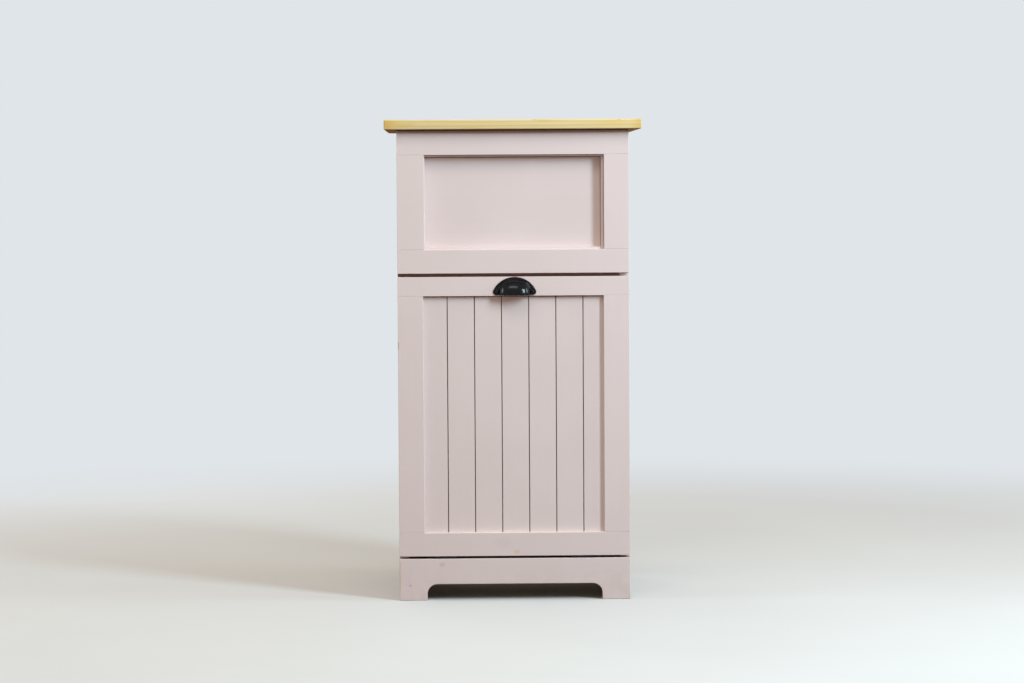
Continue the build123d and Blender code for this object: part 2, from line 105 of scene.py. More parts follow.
@dataclass(frozen=True)
class Stock:
    """A board or fitting as it lies in the cabinet, with the way that it runs.

    Args:
        name: The name of the node or piece.
        low: Its lowest corner.
        high: Its highest corner.
        run: The way of its grain.
    """

    name: str
    low: Vector
    high: Vector
    run: Run

    @property
    def centre(self) -> Vector:
        """The middle of the board."""
        return (self.low + self.high) / 2

    @property
    def half(self) -> Vector:
        """Half of the board's size."""
        return (self.high - self.low) / 2

    @property
    def tree_place(self) -> float:
        """A number of its own for each board, so that no two boards show the same grain."""
        return sum((n + 1) * ord(letter) for n, letter in enumerate(self.name)) % 89 * 0.37


def sign(operation: str, turned: bool = False) -> Any:
    """Make the method of an arithmetic sign between a field and another value."""

    def work_out(self: "Field", other: Any) -> "Field":
        """Add the node that works it out."""
        return self.sheet.maths(operation, *((other, self) if turned else (self, other)))

    return work_out


@dataclass(frozen=True)
class Field:
    """A value that varies over a surface. Arithmetic on it adds the nodes that work it out."""

    sheet: "Sheet"
    socket: NodeSocket
    __add__ = sign("ADD")
    __sub__ = sign("SUBTRACT")
    __rsub__ = sign("SUBTRACT", turned=True)
    __mul__ = sign("MULTIPLY")
    __truediv__ = sign("DIVIDE")
    __pow__ = sign("POWER")


class Sheet:
    """A node tree on the drawing board, with short ways to add its nodes."""

    def __init__(self, tree: NodeTree) -> None:
        """Start on a tree."""
        self.tree = tree

    def put(self, socket: NodeSocket, value: Any) -> None:
        """Feed a socket from a field, or set its value."""
        if isinstance(value, Field):
            self.tree.links.new(value.socket, socket)
        else:
            socket.default_value = value

    def node(self, kind: str, settings: Settings = None, *values: Any, **inputs: Any) -> Node:
        """Add a node.

        Args:
            kind: The node's type.
            settings: Its options.
            values: Its first sockets, in order.
            inputs: Its sockets by name, with _ for a space.

        Returns:
            The new node.
        """
        made = self.tree.nodes.new(kind)
        for key, value in (settings or {}).items():
            setattr(made, key, value)
        for socket, value in zip(made.inputs, values):
            self.put(socket, value)
        for key, value in inputs.items():
            self.put(made.inputs[key.replace("_", " ")], value)
        return made

    def field(
        self, kind: str, settings: Settings = None, *values: Any, key: Any = 0, **inputs: Any
    ) -> Field:
        """Add a node and take the output with this key."""
        return Field(self, self.node(kind, settings, *values, **inputs).outputs[key])

    def named(self, made: Node) -> dict[str, Field]:
        """Take all outputs of a node by name."""
        return {socket.name: Field(self, socket) for socket in made.outputs}

    def maths(self, operation: str, *values: Any, clamp: bool = False) -> Field:
        """Work out a number."""
        settings = {"operation": operation, "use_clamp": clamp}
        return self.field("ShaderNodeMath", settings, *values)

    def vector(self, operation: str, *values: Any, key: int | str = 0) -> Field:
        """Work out a vector, or a number from it."""
        return self.field("ShaderNodeVectorMath", {"operation": operation}, *values, key=key)

    def length(self, place: Field) -> Field:
        """Measure a vector."""
        return self.vector("LENGTH", place, key="Value")

    def parts(self, place: Field) -> list[Field]:
        """Split a place into X, Y and Z."""
        made = self.node("ShaderNodeSeparateXYZ", None, place)
        return [Field(self, socket) for socket in made.outputs]

    def noise(
        self, place: Field, scale: Any, detail: float = 2.0, rough: float = 0.5, bend: float = 0.0
    ) -> Field:
        """Add a cloudy pattern from 0 to 1."""
        inputs = {"Scale": scale, "Detail": detail, "Roughness": rough, "Distortion": bend}
        return self.field("ShaderNodeTexNoise", Vector=place, **inputs)

    def streaks(self, place: Field, along: float, across: float, *quality: float) -> Field:
        """Add a pattern drawn out along the run.

        Args:
            place: The place, with X along the run.
            along: The scale along the run.
            across: The scale across it.
            quality: The detail, roughness and bend of the noise.

        Returns:
            The pattern, from 0 to 1.
        """
        return self.noise(self.vector("MULTIPLY", place, (along, across, across)), 1.0, *quality)

    def ramp(
        self, value: Field, low: float, high: float, start: float = 0.0, end: float = 1.0
    ) -> Field:
        """Ease a value from one pair of limits to another."""
        settings = {"interpolation_type": "SMOOTHSTEP"}
        return self.field("ShaderNodeMapRange", settings, value, low, high, start, end)

    def blend(self, amount: Any, first: Any, second: Any) -> Field:
        """Mix two colours."""
        made = self.node("ShaderNodeMix", {"data_type": "RGBA"}, amount)
        self.put(made.inputs[6], first)
        self.put(made.inputs[7], second)
        return Field(self, made.outputs[2])

    def layered(self, base: Any, *layers: tuple[Any, Any]) -> Field:
        """Lay colours over a base, each with the mask of where it shows."""
        for mask, colour in layers:
            base = self.blend(mask, base, colour)
        return base

    def between(self, amount: Any, first: Any, second: Any) -> Field:
        """Mix two numbers."""
        made = self.node("ShaderNodeMix", {"data_type": "FLOAT"}, amount)
        self.put(made.inputs[2], first)
        self.put(made.inputs[3], second)
        return Field(self, made.outputs[0])

    def mixed(self, amount: Field, first: Field, second: Field) -> Field:
        """Mix two shaders."""
        return self.field("ShaderNodeMixShader", None, amount, first, second)

    def effect(self, group: NodeTree, **inputs: Any) -> dict[str, Field]:
        """Place a shared effect and take its outputs by name."""
        return self.named(self.node("ShaderNodeGroup", {"node_tree": group}, **inputs))

    def seen(self) -> Field:
        """Tell what the camera sees, straight or in a mirror or through glass, from lighting."""
        rays = self.named(self.node("ShaderNodeLightPath"))
        indirect = self.maths("MAXIMUM", rays["Is Glossy Ray"], rays["Is Transmission Ray"])
        return self.maths("MAXIMUM", rays["Is Camera Ray"], indirect)


class Effect:
    """A shared effect being built: a node group with named inputs and outputs."""

    def __init__(self, name: str, outputs: tuple[str, ...], **inputs: Any) -> None:
        """Make the group and its sockets, of which the place comes first.

        Args:
            name: The group's name.
            outputs: The outputs, all numbers.
            inputs: Each further input with its default, a vector or a number.
        """
        self.tree = bpy.data.node_groups.new(name, "ShaderNodeTree")
        for key, value in {"Place": ORIGIN, **inputs}.items():
            kind = "NodeSocketVector" if isinstance(value, tuple) else "NodeSocketFloat"
            socket = self.tree.interface.new_socket(name=key, in_out="INPUT", socket_type=kind)
            socket.default_value = value
        for key in outputs:
            self.tree.interface.new_socket(name=key, in_out="OUTPUT", socket_type="NodeSocketFloat")
        self.sheet = Sheet(self.tree)
        self.given = self.sheet.named(self.tree.nodes.new("NodeGroupInput"))
        self.place = self.given["Place"]
        self.wanted = self.tree.nodes.new("NodeGroupOutput").inputs

    def give(self, **values: Field) -> NodeTree:
        """Send the values out of the group, which is then ready."""
        for key, value in values.items():
            self.sheet.put(self.wanted[key], value)
        return self.tree


def wood_grain() -> NodeTree:
    """Build the growth rings and fibres of softwood, round a pith along the run."""
    effect = Effect("wood grain", ("Rings", "Fibre"), Ring=0.004, Wander=0.012)
    s, place = effect.sheet, effect.place
    shift = (s.streaks(place, 1.6, 5.0) - 0.5) * effect.given["Wander"]
    _, aside, above = s.parts(place)
    radius = s.maths("SQRT", (aside + shift) ** 2.0 + (above + shift * 1.7) ** 2.0)
    ragged = s.streaks(place, 3.0, 130.0, 3.0, 0.6)
    part = s.maths("FRACT", radius / effect.given["Ring"] + ragged * 0.9)
    late = part**2.6 * s.ramp(part, 0.84, 1.0, 1.0, 0.0)
    return effect.give(
        Rings=s.maths("MULTIPLY", late, 1.6, clamp=True),
        Fibre=s.streaks(place, 7.0, 620.0, 3.0, 0.65),
    )


def brush_marks() -> NodeTree:
    """Build the strokes that a brush leaves in satin paint, with the slight peel of the film."""
    effect = Effect("brush marks", ("Height", "Tone"))
    s, place = effect.sheet, effect.place
    hairs = s.streaks(place, 4.0, 520.0, 3.0, 0.6)
    laps = s.streaks(place, 1.3, 70.0)
    peel = s.noise(place, 950.0, 1.0)
    height = hairs * 0.55 + laps * 0.35 + peel * 0.12
    return effect.give(Height=height, Tone=laps * 0.6 + hairs * 0.4)


def board_edges() -> NodeTree:
    """Build the mask of where the finish has rubbed off a board's edges."""
    sizes = {"Centre": ORIGIN, "Half": (0.1, 0.1, 0.1), "Reach": 0.002}
    effect = Effect("board edges", ("Worn",), **sizes)
    s, given = effect.sheet, effect.given
    away = s.vector("ABSOLUTE", s.vector("SUBTRACT", effect.place, given["Centre"]))
    x, y, z = s.parts(s.vector("SUBTRACT", given["Half"], away))
    lesser, greater = s.maths("MINIMUM", x, y), s.maths("MAXIMUM", x, y)
    second = s.maths("MAXIMUM", lesser, s.maths("MINIMUM", greater, z))
    edge = s.maths("SUBTRACT", 1.0, second / given["Reach"], clamp=True)
    patchy = s.noise(effect.place, 38.0, 5.0, 0.62)
    return effect.give(Worn=edge * s.ramp(patchy, 0.6, 0.7))


def surface_mark() -> NodeTree:
    """Build one mark with a ragged rim, such as a spot, a scuff or a chip."""
    sizes = {"Centre": ORIGIN, "Radius": (0.01, 0.01, 0.01), "Rag": 0.5}
    effect = Effect("surface mark", ("Mask",), **sizes)
    s, given = effect.sheet, effect.given
    away = s.vector("SUBTRACT", effect.place, given["Centre"])
    reach = s.length(s.vector("DIVIDE", away, given["Radius"]))
    ragged = s.noise(effect.place, 420.0, 3.0, 0.6) - 0.5
    return effect.give(Mask=s.ramp(reach + ragged * given["Rag"], 0.55, 1.0, 1.0, 0.0))


def floor_dust() -> NodeTree:
    """Build the film of dust and mopping marks that rises from the floor."""
    effect = Effect("floor dust", ("Mask",), Top=0.09)
    s = effect.sheet
    height = s.parts(effect.place)[2]
    low = s.maths("SUBTRACT", 1.0, height / effect.given["Top"], clamp=True)
    cloudy = s.noise(effect.place, 22.0, 5.0, 0.65)
    return effect.give(Mask=low * s.ramp(cloudy, 0.35, 0.7))


def handling() -> NodeTree:
    """Build the fine scratches and finger smears of a handled, hard surface."""
    effect = Effect("handling", ("Scratch", "Smear"), Scale=60.0)
    s = effect.sheet
    bent = s.vector("MULTIPLY", effect.place, (1.0, 1.0, 7.0))
    return effect.give(
        Scratch=s.ramp(s.noise(bent, 900.0, 2.0, 0.7), 0.58, 0.72),
        Smear=s.noise(effect.place, effect.given["Scale"], 4.0),
    )


@dataclass(frozen=True)
class Effects:
    """The shared effects, each built once."""

    grain: NodeTree = field(default_factory=wood_grain)
    brushing: NodeTree = field(default_factory=brush_marks)
    edges: NodeTree = field(default_factory=board_edges)
    mark: NodeTree = field(default_factory=surface_mark)
    dust: NodeTree = field(default_factory=floor_dust)
    handling: NodeTree = field(default_factory=handling)


class Coat:
    """A material being laid on one piece: its shader, its places and its bump."""

    def __init__(self, title: str, stock: Stock, effects: Effects, **fixed: float) -> None:
        """Make the material with its shader.

        Args:
            title: The finish's name.
            stock: The piece that it goes on.
            effects: The shared effects.
            fixed: Shader sockets that are the same all over, with _ for a space.
        """
        self.material = bpy.data.materials.new(f"{title} on {stock.name}")
        self.material.use_nodes = True
        self.sheet = Sheet(self.material.node_tree)
        self.shader = self.material.node_tree.nodes["Principled BSDF"]
        self.stock = stock
        self.effects = effects
        for key, value in fixed.items():
            self.shader.inputs[key.replace("_", " ")].default_value = value
        self.place = self.sheet.field("ShaderNodeTexCoord", key="Object")

    def along(self, aside: float = 0.0, above: float = 0.0) -> Field:
        """Turn the place so that X runs along the board, off the pith by two distances."""
        moved = {"Location": (self.stock.tree_place, aside, above)}
        turned = {"Rotation": self.stock.run.value}
        return self.sheet.field("ShaderNodeMapping", Vector=self.place, **moved, **turned)

    def grain(self, place: Field, ring: float, wander: float = 0.012) -> tuple[Field, Field]:
        """Grow the wood's rings and fibres, with the rings this wide and wandering this far."""
        sizes = {"Ring": ring, "Wander": wander}
        wood = self.sheet.effect(self.effects.grain, Place=place, **sizes)
        return wood["Rings"], wood["Fibre"]

    def touch(self, scale: float) -> tuple[Field, Field]:
        """Find the scratches and the smears of handling."""
        marks = self.sheet.effect(self.effects.handling, Place=self.place, Scale=scale)
        return marks["Scratch"], marks["Smear"]

    def worn(self, reach: float) -> Field:
        """Find where the piece's edges are rubbed, as far in as the reach."""
        size = {"Centre": tuple(self.stock.centre), "Half": tuple(self.stock.half)}
        rubbed = self.sheet.effect(self.effects.edges, Place=self.place, Reach=reach, **size)
        return rubbed["Worn"]

    def finish(self, colour: Field, roughness: Field, height: Field, depth: float) -> None:
        """Feed the shader.

        Args:
            colour: The colour.
            roughness: The roughness.
            height: The height of the fine relief, from 0 to 1.
            depth: What a height of 1 stands for.
        """
        relief = self.sheet.field("ShaderNodeBump", Strength=1.0, Distance=depth, Height=height)
        for key, value in (("Normal", relief), ("Base Color", colour), ("Roughness", roughness)):
            self.sheet.put(self.shader.inputs[key], value)


@dataclass(frozen=True)
class Mark:
    """A mark that one board carries.

    Args:
        centre: Its middle.
        radius: How far it reaches each way.
        colour: What it turns the finish to.
        strength: How much of that colour shows.
        rag: How ragged its rim is.
    """

    centre: Triple
    radius: Triple
    colour: Rgba
    strength: float
    rag: float = 0.9

    @classmethod
    def front(cls, place: Pair, size: Pair, *look: Any, deep: float = MARK_DEPTH) -> "Mark":
        """Draw a mark on the face of the trim, with its colour, strength and rag."""
        return cls((place[0], TRIM_FACE, place[1]), (size[0], deep, size[1]), *look)

    @classmethod
    def line(cls, place: Pair, tall: float, *look: Any, wide: float = LINE_WIDE) -> "Mark":
        """Draw a level line of painted shade across the front, at a depth and a height."""
        return cls((0.0, *place), (wide, MARK_DEPTH, tall), *look, LINE_RAG)


class Finish(ABC):
    """A finish, laid on each piece as a material of its own."""

    title: ClassVar[str]
    fixed: ClassVar[dict[str, float]] = {}

    def material(self, stock: Stock, effects: Effects) -> Material:
        """Make the finish's material for one piece."""
        coat = Coat(self.title, stock, effects, **self.fixed)
        self.lay(coat, coat.sheet)
        return coat.material

    @abstractmethod
    def lay(self, coat: Coat, s: Sheet) -> None:
        """Work out the finish on the coat's sheet and feed its shader."""


@dataclass(frozen=True)
class SawnWood(Finish):
    """Bare softwood as it comes off the saw and plane, such as the boards inside."""

    early: Rgba = shade(222, 190, 146)
    late: Rgba = shade(188, 138, 88)
    ring: float = 0.0045
    pith: Pair = (0.05, 0.11)
    title = "bare softwood"

    def colour(self, coat: Coat, s: Sheet) -> tuple[Field, Field]:
        """Work out the wood's colour and its relief.

        Args:
            coat: The material that it is for.
            s: The coat's sheet.

        Returns:
            The colour and the height of the grain.
        """
        rings, fibre = coat.grain(coat.along(*self.pith), self.ring)
        dark = s.ramp(fibre, 0.5, 0.8, 0.0, 0.35)
        tone = s.layered(self.early, (rings * 0.8, self.late), (dark, self.late))
        return tone, fibre * 0.5 + rings * 0.5

    def lay(self, coat: Coat, s: Sheet) -> None:
        """Lay the finish on a board."""
        tone, height = self.colour(coat, s)
        soiled = s.blend(coat.worn(0.003) * 0.4, tone, shade(140, 104, 72))
        coat.finish(soiled, s.ramp(height, 0.2, 0.8, 0.62, 0.78), height, depth=0.00025)


@dataclass(frozen=True)
class ClearPine(Finish):
    """Edge-glued pine staves under clear matt varnish, which has yellowed."""

    early: Rgba = shade(219, 200, 151)
    late: Rgba = shade(200, 168, 101)
    ring: float = 0.0042
    stave_width: float = 0.083
    first_stave: float = 0.052
    title = "clear pine"
    fixed = {"Specular_IOR_Level": 0.12}

    def lay(self, coat: Coat, s: Sheet) -> None:
        """Lay the finish on the top board, stave by stave."""
        stock = coat.stock
        along, across, up = s.parts(coat.place)
        start = stock.low.y + self.first_stave - self.stave_width
        staves = (across - start) / self.stave_width
        number = s.maths("FLOOR", staves)
        flat = {"noise_dimensions": "1D"}
        chance = s.field("ShaderNodeTexWhiteNoise", flat, key="Value", W=number + 3.5)
        own = s.field("ShaderNodeCombineXYZ", X=chance * 7.0, Y=0.0, Z=chance * 0.9 - 0.93)
        rings, fibre = coat.grain(s.vector("ADD", coat.place, own), self.ring, 0.03)
        cloud = s.streaks(coat.place, 6.0, 46.0, 2.0, 0.5, 0.4)
        from_end = stock.half.x - s.maths("ABSOLUTE", along)
        seam = s.maths("PINGPONG", staves, 0.5)
        # The underside is darkened, partly for its own bare wood and partly as painted shade under
        # the board.
        under = s.ramp(up, stock.low.z + 0.0001, stock.low.z + 0.0016, 1.0, 0.0)
        shown = s.layered(
            self.early,
            (rings * 0.55, self.late),
            (s.ramp(fibre, 0.5, 0.85, 0.0, 0.35), self.late),
            (chance * 0.2, shade(228, 196, 130)),
            (s.ramp(cloud, 0.5, 0.66, 0.0, 0.6), shade(212, 174, 84)),
            (s.ramp(from_end, 0.0, 0.03, 0.55, 0.0), shade(206, 164, 78)),
            (s.ramp(seam, 0.0, 0.006, 0.5, 0.0), shade(126, 92, 48)),
            (coat.worn(0.0035) * 0.55, shade(170, 128, 66)),
            (under * 0.75, shade(150, 98, 50)),
        )
        _, smear = coat.touch(14.0)
        rough = s.between(under, s.ramp(smear, 0.3, 0.7, 0.8, 0.88), 0.9)
        coat.finish(shown, rough, fibre - s.ramp(seam, 0.0, 0.004, 0.6, 0.0), depth=0.00008)


@dataclass(frozen=True)
class Plywood(Finish):
    """Sanded plywood: a plain veneer on its faces and its plies on its cut edges.

    Args:
        plies: How many plies there are.
        through: The axis through the sheet.
    """

    plies: int = 5
    through: int = 0
    title = "plywood"

    def lay(self, coat: Coat, s: Sheet) -> None:
        """Lay the finish on a sheet."""
        low, half = coat.stock.low[self.through], coat.stock.half[self.through]
        rings, fibre = coat.grain(coat.along(0.6, 0.3), 0.014, 0.09)
        veined = (rings * 0.4, shade(200, 162, 112))
        fibrous = (s.ramp(fibre, 0.5, 0.8, 0.0, 0.3), shade(184, 142, 96))
        faced = s.layered(shade(226, 199, 158), veined, fibrous)
        ply = (s.parts(coat.place)[self.through] - low) / (2 * half / self.plies)
        odd = s.ramp(s.maths("PINGPONG", ply - 0.5, 1.0), 0.42, 0.58)
        glue = s.ramp(s.maths("PINGPONG", ply, 0.5), 0.0, 0.06, 0.7, 0.0)
        inner = 1.0 - s.maths("COMPARE", ply, 0.0, 0.02)
        outer = s.maths("GREATER_THAN", ply, self.plies - 0.02)
        shown = s.layered(
            faced,
            (odd * inner * 0.55, shade(168, 120, 76)),
            (glue * inner, shade(112, 76, 48)),
            (s.maths("MAXIMUM", outer, 1.0 - inner), faced),
            (coat.worn(0.003) * 0.35, shade(150, 112, 76)),
        )
        coat.finish(shown, s.ramp(fibre, 0.2, 0.8, 0.55, 0.7), fibre, depth=0.00015)


@dataclass(frozen=True)
class SatinPaint(Finish):
    """Dusty pink satin paint, brushed on softwood, with rubbed edges and bare hidden sides.

    Args:
        bare: The side that was left unpainted, if there is one.
        bare_from: Where along that side's axis the paint stops.
        marks: The board's own marks.
        sunk: How far back the grooves start, where they are darkened as dirt and as painted shade,
            if there are any.
        groove_reach: How far from the middle the grooves lie.
        wrapped: How far back the paint of the front edge is carried onto the bare side.
        light: The paint where it is freshest.
        deep: The paint where it has darkened.
        rubbed: What shows at the rubbed edges.
    """

    bare: Side | None = None
    bare_from: float = 0.0
    marks: tuple[Mark, ...] = ()
    sunk: float | None = None
    groove_reach: float = 0.225
    wrapped: float | None = None
    light: Rgba = shade(220, 205, 203)
    deep: Rgba = shade(212, 195, 193)
    rubbed: Rgba = shade(205, 172, 146)
    title = "pink paint"

    def unpainted(self, coat: Coat, s: Sheet, side: Side) -> Field:
        """Work out where the board is bare on that side."""
        axis, way = side.value
        parts = s.parts(coat.place)
        ragged = (s.noise(coat.place, 60.0, 3.0) - 0.5) * 0.0016
        bare = s.ramp((parts[axis] - self.bare_from) * way + ragged, -0.0002, 0.0002)
        if self.wrapped is None:
            return bare
        return bare * s.ramp(parts[1] - self.wrapped + ragged * 4.0, -0.0004, 0.0004)

    def grooves(self, coat: Coat, s: Sheet, sunk: float) -> Field:
        """Work out where the grooves lie, inside the trim and short of the plank's ends."""
        side, back, up = s.parts(coat.place)
        groove = s.ramp(back - sunk, 0.0001, 0.0009)
        reach = self.groove_reach
        inside = s.ramp(s.maths("ABSOLUTE", side), reach - 0.002, reach, 1.0, 0.0)
        from_end = coat.stock.half.z - s.maths("ABSOLUTE", up - coat.stock.centre.z)
        return groove * (inside * s.ramp(from_end, 0.0004, 0.002))

    def lay(self, coat: Coat, s: Sheet) -> None:
        """Lay the finish on a board."""
        effects = coat.effects
        strokes = s.effect(effects.brushing, Place=coat.along())
        dust = s.effect(effects.dust, Place=coat.place)["Mask"]
        wood, relief = SawnWood().colour(coat, s)
        cloud = s.noise(coat.place, 7.0, 3.0)
        layers = [
            (strokes["Tone"] * 0.5, self.deep),
            (s.ramp(cloud, 0.35, 0.7, 0.0, 0.3), self.deep),
            (dust * 0.22, shade(168, 146, 136)),
            (coat.worn(0.0016) * 0.7, self.rubbed),
        ]
        # The grooves are darkened, partly as dirt and partly as painted shade in the recess.
        if self.sunk is not None:
            layers.append((self.grooves(coat, s, self.sunk), shade(92, 44, 44)))
        for mark in self.marks:
            sizes = {"Centre": mark.centre, "Radius": mark.radius, "Rag": mark.rag}
            spot = s.effect(effects.mark, Place=coat.place, **sizes)["Mask"]
            layers.append((spot * mark.strength, mark.colour))
        height = strokes["Height"] * 0.7 + relief * 0.3
        rough = s.ramp(strokes["Tone"], 0.2, 0.8, 0.44, 0.56)
        if self.bare is not None:
            bare = self.unpainted(coat, s, self.bare)
            layers.append((bare, wood))
            height = s.between(bare, height, relief)
            rough = s.between(bare, rough, 0.72)
        coat.finish(s.layered(self.light, *layers), rough, height, depth=0.00014)


@dataclass(frozen=True)
class BlackLacquer(Finish):
    """Black lacquer over cast metal, a little polished by fingers at its edge."""

    title = "black lacquer"
    fixed = {"Specular_IOR_Level": 0.22}

    def lay(self, coat: Coat, s: Sheet) -> None:
        """Lay the finish on a fitting."""
        scratch, smear = coat.touch(90.0)
        cast = s.noise(coat.place, 1100.0, 3.0, 0.6)
        dulled = (s.ramp(smear, 0.35, 0.7), shade(10, 10, 11))
        rubbed = (coat.worn(0.003) * 0.5, shade(92, 80, 66))
        shown = s.layered(shade(4, 4, 5), dulled, rubbed)
        rough = s.ramp(smear, 0.3, 0.7, 0.11, 0.19)
        coat.finish(shown, rough, cast + scratch * 0.2, depth=0.00003)


@dataclass(frozen=True)
class PlatedSteel(Finish):
    """Zinc-plated steel with a dull bloom and fine scratches."""

    bright: Rgba = shade(196, 196, 190)
    dull: Rgba = shade(148, 148, 146)
    title = "plated steel"
    fixed = {"Metallic": 1.0}

    def lay(self, coat: Coat, s: Sheet) -> None:
        """Lay the finish on a fitting."""
        scratch, smear = coat.touch(130.0)
        bloom = (s.ramp(smear, 0.3, 0.7), self.dull)
        shown = s.layered(self.bright, bloom, (scratch * 0.3, shade(118, 108, 92)))
        coat.finish(shown, s.ramp(smear, 0.3, 0.7, 0.26, 0.44), scratch, depth=0.00002)


@dataclass(frozen=True)
class MouldedPlastic(Finish):
    """Moulded plastic with the fine texture of its mould and scuffs of use."""

    base: Rgba = shade(176, 180, 180)
    scuffed: Rgba = shade(150, 153, 152)
    title = "moulded plastic"

    def lay(self, coat: Coat, s: Sheet) -> None:
        """Lay the finish on a moulding."""
        _, smear = coat.touch(9.0)
        mould = s.noise(coat.place, 1400.0, 2.0)
        drag = s.noise(s.vector("MULTIPLY", coat.place, (90.0, 90.0, 2.5)), 1.0, 3.0)
        soiled = (s.ramp(smear, 0.4, 0.7, 0.0, 0.5), self.scuffed)
        dragged = (s.ramp(drag, 0.6, 0.75, 0.0, 0.25), self.scuffed)
        shown = s.layered(self.base, soiled, dragged)
        rough = s.ramp(smear, 0.3, 0.7, 0.4, 0.55)
        coat.finish(shown, rough, mould + drag * 0.5, depth=0.00008)


@dataclass
class Assembly:
    """A sub-assembly of the cabinet: it dresses nodes of the frame and adds pieces of its own."""

    effects: Effects
    body: str = "cabinet"

    def dress(self, finish: Finish, *names: str, run: Run = Run.ACROSS) -> None:
        """Lay a finish on nodes of the frame.

        Args:
            finish: The finish.
            names: The nodes.
            run: The way of their grain.
        """
        for name in names:
            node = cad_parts[name]
            material = finish.material(Stock(name, *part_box(name), run), self.effects)
            if not node.material_slots:
                node.data.materials.append(material)
            for held in node.material_slots:
                held.material = material
            log.info("dressed %s in %s", name, finish.title)

    def add(self, name: str, mesh: Mesh, finish: Finish, slot: str) -> Object:
        """Add a piece of its own, smooth but for its sharp edges.

        Args:
            name: The piece's name.
            mesh: Its mesh, in place.
            finish: Its finish.
            slot: Not used.

        Returns:
            The new piece.
        """
        piece = linked(name, mesh)
        places = [vertex.co for vertex in mesh.vertices]
        low = Vector([min(place[n] for place in places) for n in range(3)])
        high = Vector([max(place[n] for place in places) for n in range(3)])
        mesh.materials.clear()
        mesh.materials.append(finish.material(Stock(name, low, high, Run.ACROSS), self.effects))
        mesh.shade_smooth()
        mesh.set_sharp_from_angle(angle=SHARP)
        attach(piece, self.body)
        log.info("added %s with %d faces", name, len(mesh.polygons))
        return piece


def linked(name: str, data: ID) -> Object:
    """Put an object with this data in the scene."""
    made = bpy.data.objects.new(name, data)
    bpy.context.scene.collection.objects.link(made)
    return made


def kept(bm: BMesh, name: str) -> Mesh:
    """Make a mesh of it as it stands."""
    mesh = bpy.data.meshes.new(name)
    bm.to_mesh(mesh)
    bm.free()
    return mesh


def mesh_of(bm: BMesh, name: str) -> Mesh:
    """Merge doubles, turn every face outwards and make a mesh of it."""
    bmesh.ops.remove_doubles(bm, verts=bm.verts[:], dist=MERGE)
    bmesh.ops.recalc_face_normals(bm, faces=bm.faces[:])
    return kept(bm, name)


def worked(mesh: Mesh, *steps: tuple[str, dict[str, Any]]) -> Mesh:
    """Run modifiers on a mesh and return the result.

    Args:
        mesh: The mesh to start from.
        steps: Each modifier's type with its settings.

    Returns:
        The worked mesh.
    """
    holder = linked(mesh.name, mesh)
    for number, (kind, settings) in enumerate(steps):
        modifier = holder.modifiers.new(f"step {number}", kind)
        for key, value in settings.items():
            setattr(modifier, key, value)
    graph = bpy.context.evaluated_depsgraph_get()
    graph.update()
    result = bpy.data.meshes.new_from_object(holder.evaluated_get(graph))
    result.name = mesh.name
    bpy.data.objects.remove(holder)
    return result


def vertices(parts: list[Any]) -> list[BMVert]:
    """Pick the vertices out of what an operator returned."""
    return [part for part in parts if isinstance(part, BMVert)]


def spun(
    bm: BMesh, geom: list[Any], centre: Any, axis: Triple, angle: float, steps: int
) -> list[BMVert]:
    """Sweep geometry about an axis and return the last vertices.

    Args:
        bm: The mesh being built.
        geom: What is swept.
        centre: A point on the axis.
        axis: The axis's direction.
        angle: How far it is swept.
        steps: In how many steps.

    Returns:
        The vertices at the end of the sweep.
    """
    swept = bmesh.ops.spin(
        bm, geom=geom, cent=centre, axis=axis, dvec=ORIGIN, angle=angle, steps=steps
    )
    return vertices(swept["geom_last"])


def rounded(bm: BMesh, edges: list[BMEdge], offset: float) -> None:
    """Round edges in four steps."""
    shape = {"affect": "EDGES", "segments": 4, "profile": 0.5, "material": -1}
    bmesh.ops.bevel(bm, geom=edges, offset=offset, clamp_overlap=True, **shape)


def seat(x: float, y: float, z: float, tip: float) -> Matrix:
    """Place a fastener's head, tipped about the X axis."""
    return Matrix.Translation((x, y, z)) @ Matrix.Rotation(tip, 4, "X")


